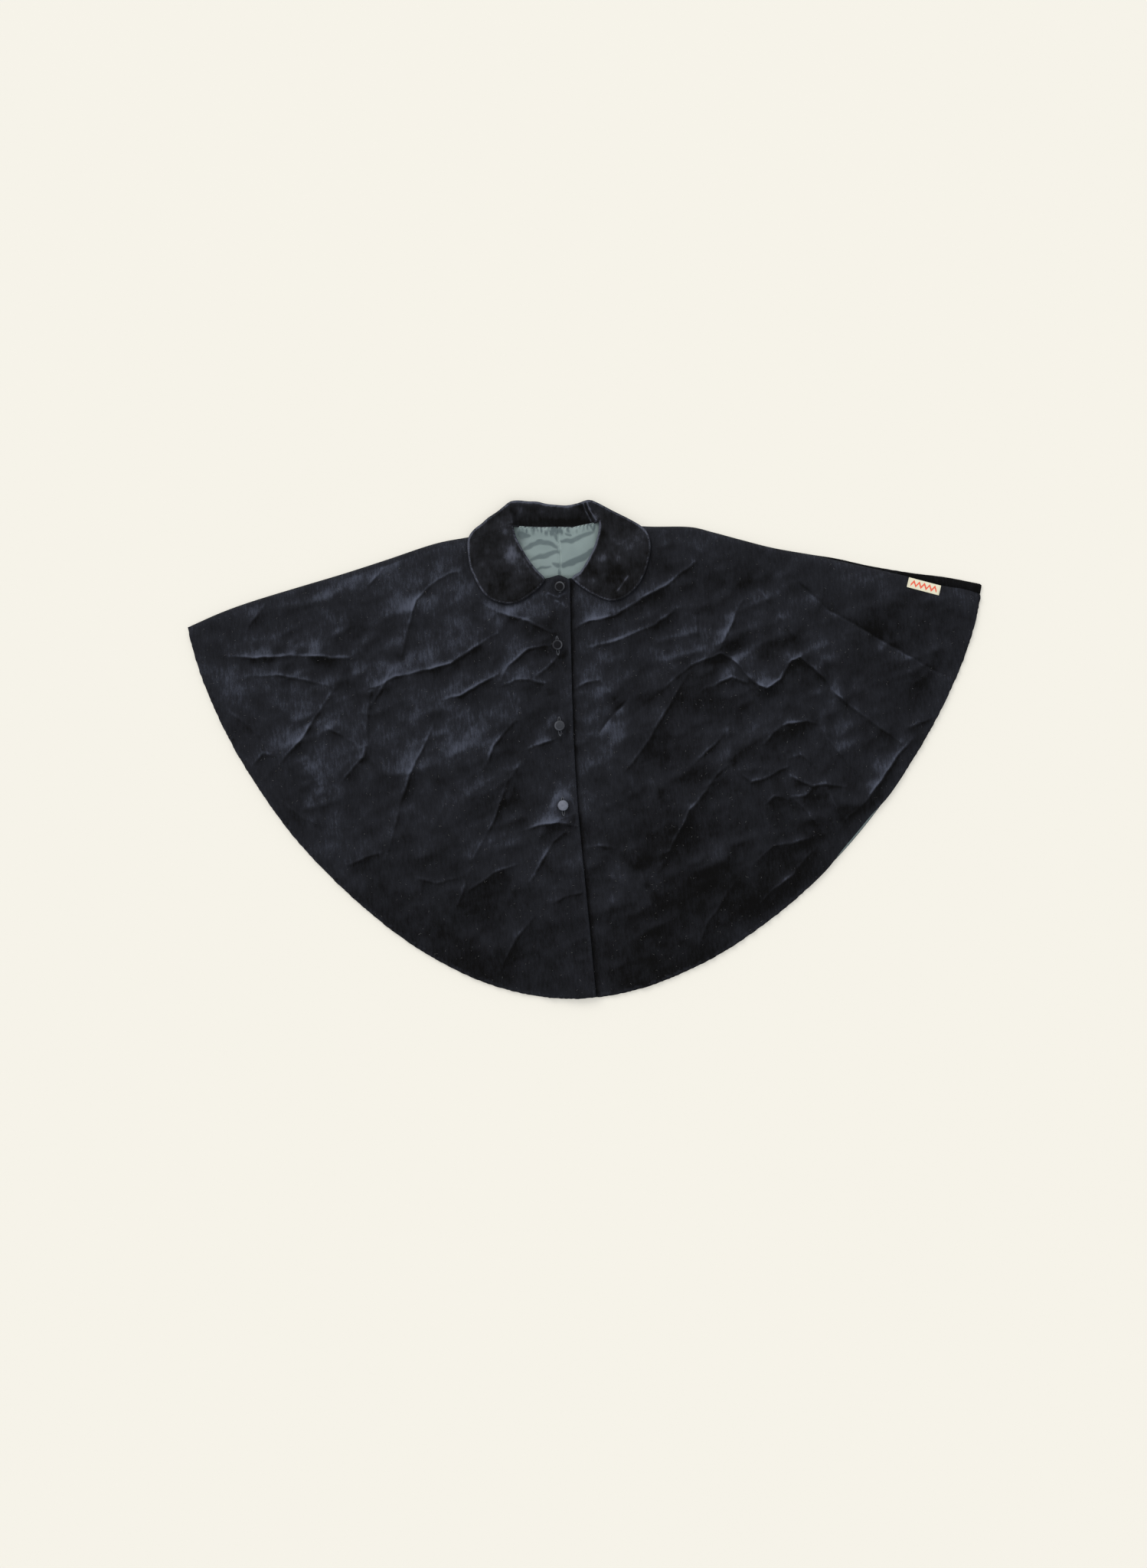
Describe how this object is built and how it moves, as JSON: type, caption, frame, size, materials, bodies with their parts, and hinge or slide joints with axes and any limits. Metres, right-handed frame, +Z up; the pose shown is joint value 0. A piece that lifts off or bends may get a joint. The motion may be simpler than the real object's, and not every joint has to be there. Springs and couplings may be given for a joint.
{
  "type": "child's velvet cape",
  "caption": "Child's dark velvet cape with a flat rounded collar, satin lining and a lapped front closed by covered buttons, laid on its back and buttoned up.",
  "frame": {"origin": "on the table, at the foot of the centre-front line, level with the neck", "axes": "+X to the viewer's right (the wearer's left), +Y towards the collar, +Z up from the table"},
  "size_m": [1.037, 0.654, 0.0205],
  "materials": {
    "velvet": "dark navy velvet with a short nap",
    "satin_lining": "pale grey-green satin",
    "facing": "dark velvet facing",
    "neck_tape": "narrow dark cotton tape",
    "interlining": "plain woven canvas",
    "collar_velvet": "dark navy velvet with a short nap",
    "button_cloth": "dark velvet and grey satin drawn over a domed shell",
    "button_metal": "plain pressed shell",
    "button_back": "moulded back with a thread hole",
    "buttonhole_thread": "worked edge in dark twist",
    "sewing_thread": "dark buttonhole twist",
    "label": "ivory woven ribbon",
    "label_thread": "ivory sewing thread"
  },
  "bodies": {
    "back": {"back_panel": "velvet", "back_lining_left": "satin_lining", "back_lining_right": "satin_lining", "back_neck_tape": "neck_tape", "collar_back_upper": "collar_velvet", "collar_back_interlining": "interlining", "collar_back_under": "collar_velvet"},
    "right_front": {"right_front_panel": "velvet", "right_front_lining": "satin_lining", "right_front_facing": "facing", "right_front_neck_tape": "neck_tape", "buttonhole_1": "buttonhole_thread", "buttonhole_2": "buttonhole_thread", "buttonhole_3": "buttonhole_thread", "buttonhole_4": "buttonhole_thread"},
    "left_front": {"left_front_panel": "velvet", "left_front_lining": "satin_lining", "left_front_facing": "facing", "left_front_neck_tape": "neck_tape", "woven_label": "label", "label_stitches": "label_thread", "button_thread_1": "sewing_thread", "button_thread_2": "sewing_thread", "button_thread_3": "sewing_thread", "button_thread_4": "sewing_thread"},
    "right_collar": {"right_collar_upper": "collar_velvet", "right_collar_interlining": "interlining", "right_collar_under": "collar_velvet"},
    "left_collar": {"left_collar_upper": "collar_velvet", "left_collar_interlining": "interlining", "left_collar_under": "collar_velvet"},
    "button_1": {"button_cover_1": "button_cloth", "button_shell_1": "button_metal", "button_back_1": "button_back"},
    "button_2": {"button_cover_2": "button_cloth", "button_shell_2": "button_metal", "button_back_2": "button_back"},
    "button_3": {"button_cover_3": "button_cloth", "button_shell_3": "button_metal", "button_back_3": "button_back"},
    "button_4": {"button_cover_4": "button_cloth", "button_shell_4": "button_metal", "button_back_4": "button_back"}
  },
  "joints": [
    {"name": "right_front_fold", "type": "hinge", "parent": "back", "child": "right_front", "pos_m": [-0.062, 0.016, 0.0158], "axis": [-0.9735, -0.2288, 0], "range_deg": [0, 165], "deforming": ["buttonhole_1", "buttonhole_2", "buttonhole_3", "buttonhole_4"]},
    {"name": "left_front_fold", "type": "hinge", "parent": "back", "child": "left_front", "pos_m": [0.048, 0.014, 0.0126], "axis": [-0.9681, 0.2504, 0], "range_deg": [0, 132]},
    {"name": "right_collar_turn", "type": "hinge", "parent": "right_front", "child": "right_collar", "pos_m": [-0.066, 0.024, 0.0161], "axis": [0.4515, -0.8923, 0], "range_deg": [-95, 0]},
    {"name": "left_collar_turn", "type": "hinge", "parent": "left_front", "child": "left_collar", "pos_m": [0.05, 0.016, 0.0129], "axis": [0.4936, 0.8697, 0], "range_deg": [-95, 0]},
    {"name": "button_1_turn", "type": "hinge", "parent": "left_front", "child": "button_1", "pos_m": [-0.0085, -0.0665, 0.0161], "axis": [0, 0, 1], "range_deg": [-60, 60]},
    {"name": "button_2_turn", "type": "hinge", "parent": "left_front", "child": "button_2", "pos_m": [-0.0165, -0.142, 0.0161], "axis": [0, 0, 1], "range_deg": [-60, 60]},
    {"name": "button_3_turn", "type": "hinge", "parent": "left_front", "child": "button_3", "pos_m": [-0.021, -0.247, 0.0161], "axis": [0, 0, 1], "range_deg": [-60, 60]},
    {"name": "button_4_turn", "type": "hinge", "parent": "left_front", "child": "button_4", "pos_m": [-0.0235, -0.351, 0.0161], "axis": [0, 0, 1], "range_deg": [-60, 60]}
  ],
  "couplings": [
    {"joint": "left_front_fold", "follows": "right_front_fold", "ratio": 0.8}
  ]
}
